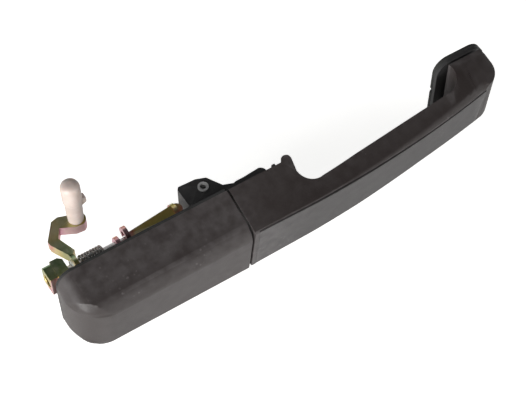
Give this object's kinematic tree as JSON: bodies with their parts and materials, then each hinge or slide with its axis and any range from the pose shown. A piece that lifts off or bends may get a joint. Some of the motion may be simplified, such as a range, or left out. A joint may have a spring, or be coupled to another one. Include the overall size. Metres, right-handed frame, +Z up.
{
  "type": "car door handle",
  "caption": "Black pull-type outside car door handle: hinged grip with a separate end cap, and a plated relay lever that works the latch rod.",
  "frame": {"origin": "mouth of the fixing thread in the rear block, where the screw from the door's shut face enters", "axes": "+X along the handle from the end cap towards the front hinge, +Y into the door, +Z up; the grip faces -Y"},
  "size_m": [0.2302, 0.0563, 0.0582],
  "materials": {
    "black_plastic": "fine-grained moulding, black with a brown cast",
    "strip_plastic": "fine-grained moulding, slightly smoother than the grip",
    "arm_plastic": "glass-filled, coarse and dull black",
    "rubber": "matt black",
    "yellow_zinc": "zinc plate with yellow passivation, iridescent green to pink",
    "spring_steel": "drawn wire, dull",
    "bright_steel": "turned and plated, satin",
    "black_screw": "black phosphate",
    "nylon": "natural nylon, slightly translucent",
    "white_bush": "white acetal"
  },
  "bodies": {
    "chassis": {"end_cap": "black_plastic", "rear_gasket": "rubber", "mounting_bracket": "yellow_zinc", "fixing_block": "yellow_zinc", "bracket_screws": "black_screw", "relay_rod": "bright_steel", "rod_washer": "spring_steel", "return_spring": "spring_steel", "pivot_pin": "bright_steel", "front_bearing": "arm_plastic", "front_pad": "rubber", "front_hook": "yellow_zinc", "hook_screws": "black_screw"},
    "grip": {"grip_shell": "black_plastic", "face_strip": "strip_plastic", "stiffener_bar": "bright_steel", "pull_arm": "arm_plastic", "hollow_pin": "bright_steel", "pull_arm_screws": "black_screw", "rest_bumper": "rubber", "pivot_block": "arm_plastic", "pivot_bushes": "white_bush"},
    "relay_lever": {"relay_lever": "yellow_zinc", "relay_bushes": "white_bush", "finger_sleeve": "nylon"},
    "rod_clip": {"rod_clip": "nylon"}
  },
  "joints": [
    {"name": "grip_hinge", "type": "hinge", "parent": "chassis", "child": "grip", "pos_m": [0.2187, -0.0085, -0.004], "axis": [0, 0, 1], "range_deg": [0, 6], "stiffness_Nm_per_rad": 6, "springref_deg": -2.86},
    {"name": "relay_turn", "type": "hinge", "parent": "chassis", "child": "relay_lever", "pos_m": [0.0342, -0.002, 0.002], "axis": [-1, 0, 0], "range_deg": [0, 45], "deforming": ["return_spring"]},
    {"name": "clip_swivel", "type": "hinge", "parent": "relay_lever", "child": "rod_clip", "pos_m": [0.0242, 0.0175, 0.006], "axis": [0, 0, 1], "continuous": true}
  ],
  "couplings": [
    {"joint": "relay_turn", "follows": "grip_hinge", "ratio": 7.35}
  ]
}
